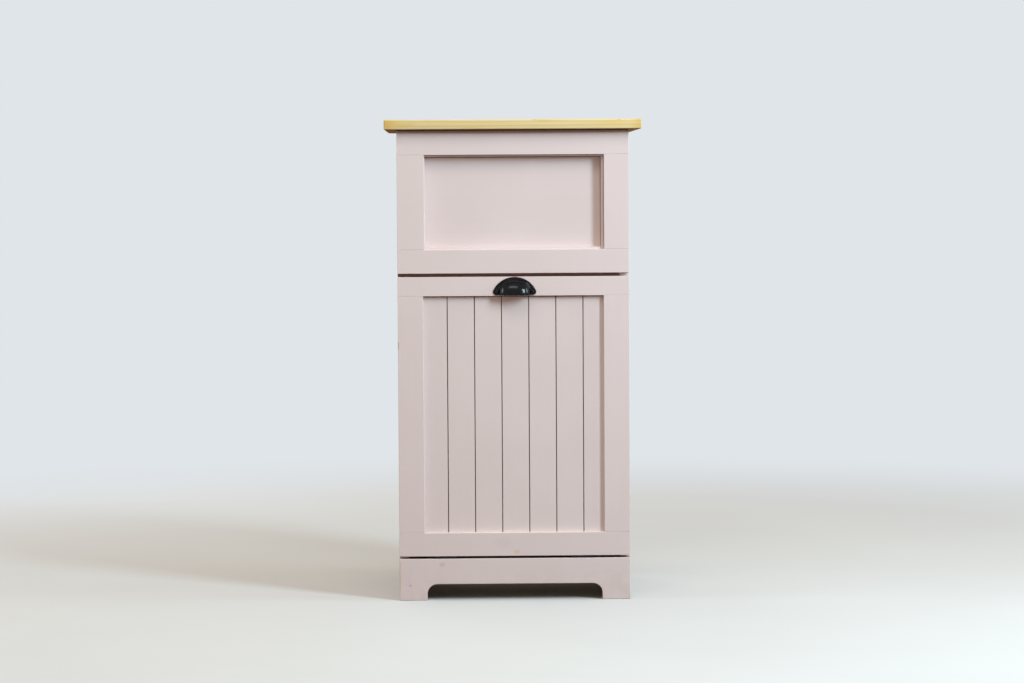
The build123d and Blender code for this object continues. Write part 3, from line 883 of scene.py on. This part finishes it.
@dataclass(frozen=True)
class CrossScrew:
    """A wood screw with a cross recess, its head at the place and its shank down -Z.

    Args:
        head: The head's radius.
        rise: How high the head stands, or 0 for a countersunk one.
        shank: The shank's radius.
        length: Its length under the head.
        turn: How far the recess is turned.
    """

    head: float = 0.0032
    rise: float = 0.002
    shank: float = 0.0015
    length: float = 0.016
    turn: float = 0.6
    dome: ClassVar = ((0.45, 0.95), (0.75, 0.78), (0.93, 0.5), (1.0, 0.18), (1.0, 0.0))
    arm: ClassVar[Triple] = (1.15, 0.26, 1.1)
    arm_foot: ClassVar[Triple] = (0.45, 0.8, 1.0)

    def blank(self) -> Mesh:
        """Turn the head and shank about the screw's axis."""
        bm = bmesh.new()
        if self.rise:
            outline = [(self.head * out, 0, self.rise * up) for out, up in self.dome]
            outline.append((self.shank, 0, 0))
        else:
            outline = [(self.head, 0, 0), (self.shank, 0, self.shank - self.head)]
        outline += [(self.shank, 0, -self.length + self.shank), (0, 0, -self.length)]
        last = bmesh.ops.create_vert(bm, co=(0, 0, self.rise))["vert"][0]
        chain: list[Any] = [last]
        for point in outline:
            made = bmesh.ops.extrude_vert_indiv(bm, verts=[last])
            last = made["verts"][0]
            last.co = point
            chain += [last, made["edges"][0]]
        turned = {"axis": (0, 0, 1), "dvec": ORIGIN, "angle": math.tau}
        bmesh.ops.spin(bm, geom=chain, cent=ORIGIN, steps=28, use_merge=True, **turned)
        return mesh_of(bm, "screw blank")

    def recess(self) -> Object:
        """Make the cross-shaped punch that sinks the recess, narrower towards its foot."""
        bm = bmesh.new()
        for quarter in range(2):
            arm = bmesh.ops.create_cube(bm, size=1.0)["verts"]
            bmesh.ops.scale(bm, verts=arm, vec=[self.head * part for part in self.arm])
            low = [vertex for vertex in arm if vertex.co.z < 0]
            bmesh.ops.scale(bm, verts=low, vec=self.arm_foot)
            turned = Matrix.Rotation(self.turn + quarter * math.pi / 2, 3, "Z")
            bmesh.ops.rotate(bm, verts=arm, cent=ORIGIN, matrix=turned)
        bmesh.ops.translate(bm, verts=bm.verts[:], vec=(0, 0, self.rise))
        return linked("recess punch", mesh_of(bm, "recess punch"))

    def driven(self, name: str, places: list[Matrix]) -> Mesh:
        """Make one mesh with a screw at each place.

        Args:
            name: The mesh's name.
            places: Where each head sits.

        Returns:
            The mesh of them all.
        """
        punch = self.recess()
        cut = {"object": punch, "operation": "DIFFERENCE", "solver": "EXACT", "use_self": True}
        screw = worked(self.blank(), ("BOOLEAN", cut))
        bpy.data.objects.remove(punch)
        bm = bmesh.new()
        for place in places:
            before = set(bm.verts)
            bm.from_mesh(screw)
            fresh = [vertex for vertex in bm.verts if vertex not in before]
            bmesh.ops.transform(bm, matrix=place, verts=fresh)
        return kept(bm, name)


@dataclass
class Carcass(Assembly):
    """The fixed box: top board, sides, back, shelf, apron and the rails between the sides."""

    top_ease: float = 0.0022
    pin_spacing: float = 0.115
    pin_radius: float = 0.0016
    pin_inset: float = 0.0045
    pin_margin: float = 0.03
    paint_edge: float = 0.0012
    paint_wrap: float = 0.009

    def top(self) -> None:
        """Replace the top board with one whose edges are rounded by sanding."""
        low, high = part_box("top_board")
        bm = bmesh.new()
        bmesh.ops.create_cube(bm, size=1.0)
        bmesh.ops.scale(bm, verts=bm.verts[:], vec=high - low)
        bmesh.ops.translate(bm, verts=bm.verts[:], vec=(high + low) / 2)
        rounded(bm, bm.edges[:], self.top_ease)
        piece = self.add("top_board_sanded", mesh_of(bm, "top_board_sanded"), ClearPine(), "pine")
        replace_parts(piece, "top_board")

    def back_pins(self) -> None:
        """Drive the panel pins that hold the back panel in its rabbets."""
        low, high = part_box("back_panel")
        tall = high.z - low.z - 2 * self.pin_margin
        count = int(tall / self.pin_spacing)
        wide = {"radius1": self.pin_radius, "radius2": self.pin_radius * 0.85, "segments": 12}
        bm = bmesh.new()
        for x in (low.x + self.pin_inset, high.x - self.pin_inset):
            for number in range(count + 1):
                made = bmesh.ops.create_cone(bm, cap_ends=True, depth=0.0006, **wide)["verts"]
                z = low.z + self.pin_margin + number * (tall / count)
                place = seat(x, high.y + 0.0001, z, -math.pi / 2)
                bmesh.ops.transform(bm, matrix=place, verts=made)
        self.add("back_pins", mesh_of(bm, "back_pins"), PlatedSteel(), "steel")

    def sides(self) -> None:
        """Dress the sides, painted outside and on their front edges, with painted shade where the
        left one shows in the gap above the door.
        """
        near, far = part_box("side_right")
        # Painted shade on the left side's front edge, where it shows in the gap above the door.
        painted_shade_in_gap = Mark((-far.x, near.y, 0.6625), (0.03, 0.004, 0.0075), shade(84, 58, 38), 0.85)
        wrapped = near.y + self.paint_wrap
        left = SatinPaint(Side.RIGHT, -far.x + self.paint_edge, (painted_shade_in_gap,), wrapped=wrapped)
        right = SatinPaint(Side.LEFT, far.x - self.paint_edge, wrapped=wrapped)
        self.dress(left, "side_left", run=Run.UP)
        self.dress(right, "side_right", run=Run.UP)

    def apron(self) -> None:
        """Dress the apron, with its two scuffs, its rubbed end and a line of painted shade along
        its top, in the gap under the door.
        """
        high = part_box("apron")[1]
        scuff = Mark.front((-0.148, 0.073), (0.008, 0.0045), shade(172, 150, 140), 0.34, 1.6)
        knock = Mark.front((-0.213, 0.0305), (0.0035, 0.003), shade(150, 132, 128), 0.42, 1.4)
        rub = Mark.front((-0.2345, 0.05), (0.0022, 0.045), shade(206, 160, 118), 0.55, deep=0.006)
        # Painted shade: a dark line along the apron's top face, for the shade in the gap under the
        # door.
        size = (LINE_WIDE, 0.0105, 0.002)
        top = Mark((0.0, -0.1655, high.z), size, shade(44, 22, 18), 0.9, LINE_RAG)
        self.dress(SatinPaint(Side.BACK, high.y - 0.002, (scuff, knock, rub, top)), "apron")

    def build(self) -> None:
        """Dress the carcass and add its pins."""
        self.top()
        self.sides()
        self.apron()
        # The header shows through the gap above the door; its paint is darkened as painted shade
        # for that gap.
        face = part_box("header_rail")[0].y
        painted_shade_tones = {"light": shade(158, 116, 108), "deep": shade(134, 94, 86)}
        self.dress(SatinPaint(Side.BACK, face + 0.0015, **painted_shade_tones), "header_rail")
        self.dress(SawnWood(), "apron_cleat")
        self.dress(SawnWood(pith=(0.3, 0.05)), "bottom_shelf")
        self.dress(SawnWood(pith=(0.02, 0.14)), "stretcher_front")
        self.dress(SawnWood(pith=(0.08, 0.09)), "stretcher_back")
        self.dress(Plywood(3, 1), "back_panel", run=Run.UP)
        self.back_pins()


@dataclass
class UpperFront(Assembly):
    """The fixed front above the door: a trim frame, a lip frame and a recessed panel."""

    # The colour of the painted shade in the corners of the trim, the lip and the panel.
    painted_shade_colour: Rgba = shade(96, 54, 48)
    beside: float = 0.16
    top_wide: float = 0.5

    def build(self) -> None:
        """Dress the frames and the panel, with painted shade in their corners and under the top
        board.
        """
        low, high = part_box("upper_rail_top")
        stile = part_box("upper_stile_right")[0].x
        lip_low, lip_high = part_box("lip_rail_top")
        lip_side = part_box("lip_stile_right")[0].x
        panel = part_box("recessed_panel")[0].y
        middle = (low.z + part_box("upper_rail_bottom")[1].z) / 2
        top = (low.y, high.z)
        # Painted shadow of the top board's overhang on the top rail; seam is a thin near-black line
        # of painted shade right under the board.
        painted_shadow_under_top = Mark.line(top, 0.0105, shade(128, 76, 52), 0.7, wide=self.top_wide)
        seam = Mark.line(top, 0.0028, shade(18, 8, 4), 0.95, wide=self.top_wide)
        # Painted shade on the lip under the trim, and on the panel under the lip.
        painted_shade_under_trim = Mark.line((lip_low.y, low.z), 0.0011, self.painted_shade_colour, 0.8)
        painted_shade_under_lip = Mark.line((panel, lip_low.z), 0.0026, self.painted_shade_colour, 0.85)
        # Painted shade on the lip beside the right trim, and the painted shadow of the right lip on
        # the panel.
        size = (0.0018, MARK_DEPTH, self.beside)
        painted_shade_beside_trim = Mark((stile, lip_low.y, middle), size, self.painted_shade_colour, 0.7, LINE_RAG)
        size = (0.0026, MARK_DEPTH, self.beside)
        painted_shadow_beside_lip = Mark((lip_side, panel, middle), size, shade(128, 84, 66), 0.7, LINE_RAG)
        self.dress(SatinPaint(marks=(painted_shadow_under_top, seam)), "upper_rail_top")
        self.dress(SatinPaint(), "upper_rail_bottom")
        self.dress(SatinPaint(), "upper_stile_left", "upper_stile_right", run=Run.UP)
        behind = lip_high.y - 0.001
        lip_rail = SatinPaint(Side.BACK, behind, (painted_shade_under_trim,))
        lip_stile = SatinPaint(Side.BACK, behind, (painted_shade_beside_trim,))
        self.dress(lip_rail, "lip_rail_top", "lip_rail_bottom")
        self.dress(lip_stile, "lip_stile_left", "lip_stile_right", run=Run.UP)
        field_paint = SatinPaint(Side.BACK, panel + 0.001, (painted_shade_under_lip, painted_shadow_beside_lip))
        self.dress(field_paint, "recessed_panel")


@dataclass
class PlankDoor(Assembly):
    """The tilting door: nine tongue-and-groove planks under a trim frame."""

    body: str = "door"
    plank_count: int = 9

    def planks(self) -> None:
        """Dress the planks, with dirt and painted shade in their grooves and painted shade under
        the top rail.
        """
        front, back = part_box("door_plank_1")
        under_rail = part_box("door_rail_top")[0].z
        # A line of painted shade on the planks right under the door's top rail.
        corner = Mark.line((front.y, under_rail), 0.003, shade(108, 58, 54), 0.9)
        plank = SatinPaint(Side.BACK, back.y - 0.003, (corner,), sunk=front.y)
        names = [f"door_plank_{number}" for number in range(1, self.plank_count + 1)]
        self.dress(plank, *names, run=Run.UP)

    def build(self) -> None:
        """Dress the planks and the trim."""
        self.planks()
        chip = Mark.front((-0.235, 0.52), (0.0022, 0.011), shade(150, 116, 96), 0.8, deep=0.003)
        rub = Mark.front((-0.235, 0.3), (0.0016, 0.19), shade(208, 164, 124), 0.45)
        spot = Mark.front((0.0045, 0.0985), (0.0085, 0.0055), shade(210, 186, 156), 0.7)
        smudge = Mark.front((-0.024, 0.117), (0.021, 0.014), shade(188, 170, 168), 0.16, 2.0)
        glint = shade(236, 210, 182)
        lit = Mark.front((0.0, 0.138), (0.215, 0.002), glint, 0.9, 0.4, deep=0.0022)
        self.dress(SatinPaint(), "door_rail_top")
        self.dress(SatinPaint(marks=(spot, smudge, lit)), "door_rail_bottom")
        self.dress(SatinPaint(marks=(chip, rub)), "door_stile_left", run=Run.UP)
        self.dress(SatinPaint(), "door_stile_right", run=Run.UP)


@dataclass
class CupPull(Assembly):
    """The black cup pull: a half-moon plate with a lobe at each end, and a hollow cup on it."""

    body: str = "door"
    height: float = 0.037
    lobe: float = 0.007
    spacing: float = 0.074
    plate: float = 0.0022
    plate_ease: float = 0.0009
    cup_width: float = 0.066
    cup_height: float = 0.0335
    projection: float = 0.024
    end_radius: float = 0.022
    wall: float = 0.0022
    grid: float = 0.0005

    def outline(self) -> BMesh:
        """Sweep the half-moon outline, lobe by lobe, and fill it.

        Returns:
            The flat plate, on the plane y = 0 with its foot at z = 0.
        """
        half = self.spacing / 2
        rise = self.height - self.lobe
        radius = (half**2 + rise**2 - self.lobe**2) / (2 * (rise - self.lobe))
        middle = self.height - radius
        tilt = math.atan2(self.lobe - middle, half)
        quarter = math.pi / 2 + tilt
        front = (0, -1, 0)
        bm = bmesh.new()
        start = Vector((radius * math.cos(tilt), 0, middle + radius * math.sin(tilt)))
        last = bmesh.ops.create_vert(bm, co=start)["vert"]
        last = spun(bm, last, (0, 0, middle), front, math.pi - 2 * tilt, 48)
        last = spun(bm, last, (-half, 0, self.lobe), front, quarter, 20)
        foot = bmesh.ops.extrude_vert_indiv(bm, verts=last)["verts"]
        bmesh.ops.translate(bm, verts=foot, vec=(self.spacing, 0, 0))
        spun(bm, foot, (half, 0, self.lobe), front, quarter, 20)
        bmesh.ops.remove_doubles(bm, verts=bm.verts[:], dist=MERGE)
        bmesh.ops.contextual_create(bm, geom=bm.edges[:])
        return bm

    def backplate(self) -> Mesh:
        """Thicken the plate and round its front edge."""
        bm = self.outline()
        made = bmesh.ops.extrude_face_region(bm, geom=bm.faces[:])["geom"]
        bmesh.ops.translate(bm, verts=vertices(made), vec=(0, -self.plate, 0))
        open_edges = [edge for edge in bm.edges if edge.is_boundary]
        if open_edges:
            bmesh.ops.holes_fill(bm, edges=open_edges, sides=0)
        rim = [
            edge
            for edge in bm.edges
            if all(abs(vertex.co.y + self.plate) < MERGE for vertex in edge.verts)
        ]
        rounded(bm, rim, self.plate_ease)
        return mesh_of(bm, "pull plate")

    def cup(self) -> Mesh:
        """Sweep the cup's brow, an end arc either side of a flatter front, and turn it up."""
        axis_back = (self.cup_height**2 - self.projection**2) / (2 * self.projection)
        inset = self.cup_width / 2 - self.end_radius
        flatter = self.projection - self.end_radius
        brow = (self.projection**2 - self.end_radius**2 + inset**2) / (2 * flatter)
        lean = math.asin(inset / (brow - self.end_radius))
        end, up = math.pi / 2 - lean, (0, 0, 1)
        bm = bmesh.new()
        last = bmesh.ops.create_vert(bm, co=(-self.cup_width / 2, 0, 0))["vert"]
        last = spun(bm, last, (-inset, 0, 0), up, end, 18)
        last = spun(bm, last, (0, brow - self.projection, 0), up, 2 * lean, 24)
        spun(bm, last, (inset, 0, 0), up, end, 18)
        bmesh.ops.remove_doubles(bm, verts=bm.verts[:], dist=MERGE)
        spun(bm, bm.verts[:] + bm.edges[:], (0, axis_back, 0), (-1, 0, 0), math.pi / 2, 36)
        everything = bm.verts[:] + bm.edges[:] + bm.faces[:]
        behind = {"plane_co": (0, 0.0002, 0), "plane_no": (0, 1, 0)}
        bmesh.ops.bisect_plane(bm, geom=everything, clear_outer=True, **behind)
        return mesh_of(bm, "pull cup")

    def walled_cup(self) -> Mesh:
        """Give the cup its wall, on whichever side of the swept face lies inside."""
        thick = {"thickness": self.wall, "offset": -1.0, "use_even_offset": True}
        cup = worked(self.cup(), ("SOLIDIFY", thick))
        if min(vertex.co.y for vertex in cup.vertices) < -self.projection - 0.0005:
            cup = worked(self.cup(), ("SOLIDIFY", {**thick, "offset": 1.0}))
        return cup

    def build(self) -> None:
        """Cast the plate and the cup in one, and set it on the door with its screws."""
        low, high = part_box("cup_pull")
        middle = (low.x + high.x) / 2
        cup = self.walled_cup()
        bm = bmesh.new()
        bm.from_mesh(self.backplate())
        bm.from_mesh(cup)
        place = Matrix.Translation((middle, high.y, low.z))
        bmesh.ops.transform(bm, matrix=place, verts=bm.verts[:])
        cast = worked(
            kept(bm, "cup_pull_cast"),
            ("REMESH", {"mode": "VOXEL", "voxel_size": self.grid}),
            ("SMOOTH", {"factor": 0.5, "iterations": 6}),
        )
        cast.name = "cup_pull_cast"
        piece = self.add("cup_pull_cast", cast, BlackLacquer(), "black_metal")
        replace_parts(piece, "cup_pull")
        face, level = high.y - self.plate, low.z + self.lobe
        tip = math.pi / 2
        heads = [seat(middle + side * self.spacing / 2, face, level, tip) for side in SIDES]
        mesh = CrossScrew().driven("pull_screws_cross", heads)
        screws = self.add("pull_screws_cross", mesh, BlackLacquer(), "black_metal")
        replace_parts(screws, "pull_screws")


@dataclass
class TiltHinges(Assembly):
    """The two butt hinges under the door, with their pins and screws."""

    screw: CrossScrew = CrossScrew(0.00255, 0.0, turn=0.3)
    screw_span: float = 0.028

    def heads(self, node: str, leaf: str, up: bool) -> list[Matrix]:
        """Work out where the heads sit in the leaves.

        Args:
            node: The node of the screws that are replaced.
            leaf: The start of the leaves' names.
            up: Whether the heads face up.

        Returns:
            The places of the heads.
        """
        low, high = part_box(node)
        level, tip = (high.z, 0.0) if up else (low.z, math.pi)
        places = []
        for hand in HANDS:
            leaf_low, leaf_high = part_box(f"{leaf}_{hand}")
            for side in SIDES:
                x = (leaf_low.x + leaf_high.x) / 2 + side * self.screw_span / 2
                places.append(seat(x, (low.y + high.y) / 2, level, tip))
        return places

    def build(self) -> None:
        """Dress the leaves and pins and drive the screws."""
        for part in ("hinge_leaf_cabinet", "hinge_leaf_door", "hinge_pin"):
            self.dress(BlackLacquer(), *(f"{part}_{hand}" for hand in HANDS))
        for node, leaf, up, body in (
            ("hinge_screws_cabinet", "hinge_leaf_cabinet", True, "cabinet"),
            ("hinge_screws_door", "hinge_leaf_door", False, "door"),
        ):
            self.body = body
            name = f"{node}_cross"
            mesh = self.screw.driven(name, self.heads(node, leaf, up))
            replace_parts(self.add(name, mesh, BlackLacquer(), "black_metal"), node)


@dataclass
class MagneticCatch(Assembly):
    """The catch under the header, its magnet, the strike plate, and their screws."""

    ear_offset: float = 0.0175
    ear_height: float = 0.0035
    ear_screw: CrossScrew = CrossScrew(0.0027, 0.0016, 0.0014, 0.014, 0.9)
    plate_screw: CrossScrew = CrossScrew(0.0026, 0.0, 0.0013, 0.010, 0.2)

    def build(self) -> None:
        """Dress the catch and drive its screws."""
        self.dress(MouldedPlastic(shade(226, 222, 212), shade(204, 198, 186)), "catch_body")
        self.dress(PlatedSteel(shade(70, 68, 68), shade(48, 46, 46)), "catch_magnet")
        self.dress(PlatedSteel(), "strike_plate")
        low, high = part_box("catch_body")
        deep, level = (low.y + high.y) / 2, high.z - self.ear_height
        under = [seat(side * self.ear_offset, deep, level, math.pi) for side in SIDES]
        mesh = self.ear_screw.driven("catch_screws", under)
        self.add("catch_screws", mesh, PlatedSteel(), "steel")
        low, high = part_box("strike_plate")
        facing = seat(0, high.y + 0.00002, (low.z + high.z) / 2, -math.pi / 2)
        self.body = "door"
        mesh = self.plate_screw.driven("strike_screw", [facing])
        self.add("strike_screw", mesh, PlatedSteel(), "steel")


@dataclass
class Cradle(Assembly):
    """The plywood cradle behind the door that carries the inner bin, with its stop rail."""

    body: str = "door"

    def build(self) -> None:
        """Dress the cradle."""
        self.dress(Plywood(7, 0), *(f"cradle_cheek_{hand}" for hand in HANDS), run=Run.UP)
        self.dress(SawnWood(), *(f"cradle_batten_{hand}" for hand in HANDS), run=Run.UP)
        self.dress(Plywood(5, 2), "cradle_floor")
        self.dress(SawnWood(pith=(0.06, 0.1)), "cradle_back_rail")
        self.dress(SawnWood(pith=(0.03, 0.12)), "stop_rail")


@dataclass
class InnerBin(Assembly):
    """The tapered plastic pail that the door brings out."""

    body: str = "door"

    def build(self) -> None:
        """Dress the pail."""
        self.dress(MouldedPlastic(), "inner_bin")


@dataclass(frozen=True)
class Lamp:
    """A soft lamp.

    Args:
        name: The lamp's name.
        place: Where it hangs.
        aim: What it faces.
        size: Its width and height.
        power: Its power in watts.
        colour: Its tint.
    """

    name: str
    place: Triple
    aim: Triple
    size: Pair
    power: float
    colour: Triple

    def hang(self) -> None:
        """Hang the lamp and turn it to its aim."""
        light = bpy.data.lights.new(self.name, "AREA")
        light.shape = "RECTANGLE"
        light.size, light.size_y = self.size
        light.energy = self.power
        light.color = self.colour
        piece = linked(self.name, light)
        piece.location = self.place
        piece.rotation_mode = "QUATERNION"
        toward = Vector(self.aim) - Vector(self.place)
        piece.rotation_quaternion = toward.to_track_quat("-Z", "Y")


@dataclass
class Studio:
    """The pale floor, the soft lights and the camera. Its angles are in degrees."""

    floor_radius: float = 6.0
    fade: Pair = (1.0, 3.2)
    backdrop: Rgba = shade(224, 229, 233)
    bounce: Rgba = shade(94, 70, 53)
    fill: Rgba = (1.0, 0.88, 0.76, 1.0)
    fill_strength: float = 0.67
    camera_place: Triple = (-0.110, -6.261, 0.8394)
    camera_pitch: float = -2.936
    camera_yaw: float = -1.003
    camera_roll: float = -0.334
    lens: float = 105.5
    sensor: float = 36.0
    lamps: tuple[Lamp, ...] = (
        Lamp("window", (2.3, -2.3, 2.1), (0.0, -0.15, 0.62), (0.65, 1.4), 106.0, (0.68, 0.88, 1.0)),
        Lamp("overhead", (-0.25, -1.9, 3.2), (0, -0.2, 0.62), (1.8, 0.8), 21.0, (1.0, 0.95, 0.86)),
        Lamp("right", (3.0, -0.5, 1.75), (0.0, 0.0, 0.6), (0.8, 1.1), 30.0, (0.78, 0.91, 1.0)),
        Lamp("left", (-3.0, -0.5, 1.75), (0.0, 0.0, 0.6), (0.7, 1.1), 22.0, (0.86, 0.95, 1.0)),
        Lamp("back", (-1.4, 2.6, 1.3), (0.0, 0.1, 0.5), (1.6, 1.2), 16.0, (0.95, 0.98, 1.0)),
    )

    def floor(self) -> None:
        """Lay a wide pale floor that fades into the backdrop, and lights warmer than it looks."""
        bm = bmesh.new()
        bmesh.ops.create_circle(bm, cap_ends=True, segments=96, radius=self.floor_radius)
        piece = linked("floor", mesh_of(bm, "floor"))
        material = bpy.data.materials.new("pale floor")
        material.use_nodes = True
        s = Sheet(material.node_tree)
        shader = material.node_tree.nodes["Principled BSDF"]
        place = s.field("ShaderNodeTexCoord", key="Object")
        pale = s.blend(s.noise(place, 3.0, 3.0), shade(203, 203, 202), shade(198, 198, 196))
        s.put(shader.inputs["Base Color"], pale)
        shader.inputs["Roughness"].default_value = 0.95
        shader.inputs["Specular IOR Level"].default_value = 0.1
        seen = s.seen()
        glow = s.field("ShaderNodeEmission", Color=self.backdrop, Strength=1.0)
        far = s.ramp(s.length(place), *self.fade)
        faded = s.mixed(far * seen, Field(s, shader.outputs[0]), glow)
        timber = s.field("ShaderNodeBsdfDiffuse", Color=self.bounce)
        out = material.node_tree.nodes["Material Output"]
        s.put(out.inputs["Surface"], s.mixed(seen, timber, faded))
        piece.data.materials.append(material)

    def world(self) -> None:
        """Fill from all round with a soft warm light, and show the backdrop to the camera."""
        world = bpy.data.worlds.new("studio")
        bpy.context.scene.world = world
        world.use_nodes = True
        s = Sheet(world.node_tree)
        fill = world.node_tree.nodes["Background"]
        fill.inputs["Color"].default_value = self.fill
        fill.inputs["Strength"].default_value = self.fill_strength
        shown = s.field("ShaderNodeBackground", Color=self.backdrop, Strength=1.0)
        out = world.node_tree.nodes["World Output"]
        s.put(out.inputs["Surface"], s.mixed(s.seen(), Field(s, fill.outputs[0]), shown))

    def camera(self) -> None:
        """Set the camera where the photograph was taken from."""
        data = bpy.data.cameras.new("camera")
        data.lens = self.lens
        data.sensor_width = self.sensor
        piece = linked("camera", data)
        piece.location = self.camera_place
        pitch, yaw = math.radians(90 + self.camera_pitch), math.radians(self.camera_yaw)
        level = Euler((pitch, 0.0, yaw), "XYZ").to_matrix()
        roll = Matrix.Rotation(math.radians(self.camera_roll), 3, "Z")
        piece.rotation_euler = (level @ roll).to_euler()
        bpy.context.scene.camera = piece

    def build(self) -> None:
        """Set up the studio."""
        bpy.context.scene.view_settings.view_transform = "Standard"
        self.floor()
        self.world()
        self.camera()
        for lamp in self.lamps:
            lamp.hang()


def main() -> None:
    """Build the cabinet's assemblies in order."""
    logging.basicConfig(level=logging.INFO, format="%(name)s: %(message)s")
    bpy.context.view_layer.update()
    Studio().build()
    effects = Effects()
    assemblies: tuple[Assembly, ...] = (
        Carcass(effects),
        UpperFront(effects),
        PlankDoor(effects),
        CupPull(effects),
        TiltHinges(effects),
        MagneticCatch(effects),
        Cradle(effects),
        InnerBin(effects),
    )
    for assembly in assemblies:
        log.info("building %s", type(assembly).__name__)
        assembly.build()


if __name__ == "__main__":
    main()
